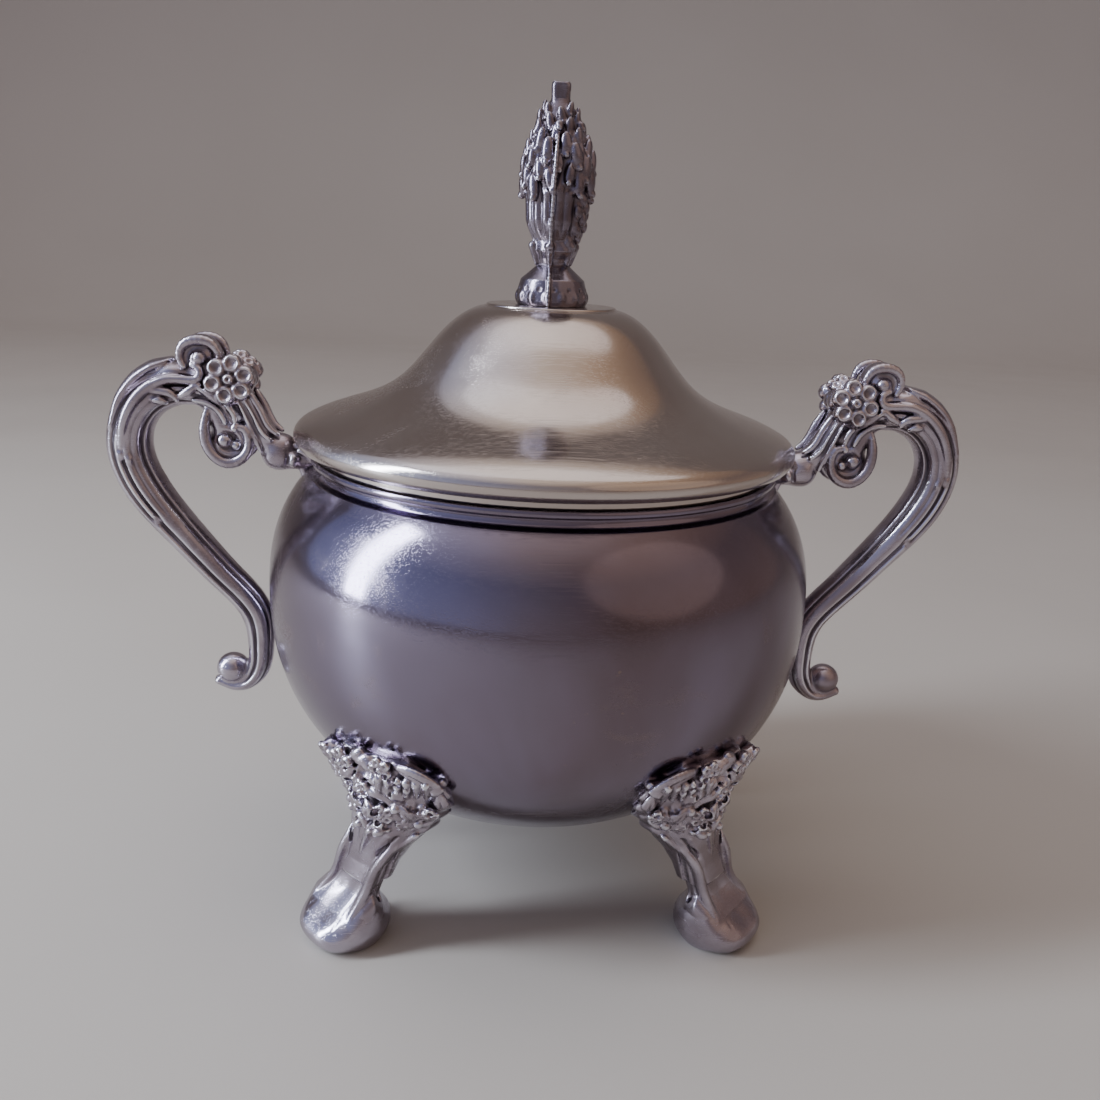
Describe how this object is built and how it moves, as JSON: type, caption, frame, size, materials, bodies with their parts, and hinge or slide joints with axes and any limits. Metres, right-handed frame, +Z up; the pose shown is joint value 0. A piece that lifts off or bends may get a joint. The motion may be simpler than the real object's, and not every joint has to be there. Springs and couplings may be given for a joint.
{
  "type": "sugar bowl",
  "caption": "Squat footed sugar bowl with cast scroll handles, floral feet and a bell-shaped lift-off lid with a leafy bud finial.",
  "frame": {"origin": "on the table under the centre of the bowl, midway between the four feet", "axes": "+Z up along the bowl's axis, +X towards the right handle, -Y towards the front"},
  "size_m": [0.1688, 0.1066, 0.1569],
  "materials": {
    "spun_plate": "worn polished silver plate over brass",
    "cast_plate": "cast ornament, silver plated, dark in the recesses",
    "bare_brass": "plain turned brass"
  },
  "bodies": {
    "bowl": {"bowl_body": "spun_plate", "bowl_rim_wire": "spun_plate", "left_handle": "cast_plate", "right_handle": "cast_plate", "foot_front_left": "cast_plate", "foot_front_right": "cast_plate", "foot_back_left": "cast_plate", "foot_back_right": "cast_plate"},
    "lid": {"lid_shell": "spun_plate", "lid_bezel": "spun_plate", "finial": "cast_plate", "finial_stud": "bare_brass", "finial_washer": "bare_brass", "finial_nut": "bare_brass"}
  },
  "joints": [
    {"name": "lid_lift", "type": "slide", "parent": "bowl", "child": "lid", "axis": [0, 0, 1], "range_m": [0, 0.06]}
  ]
}
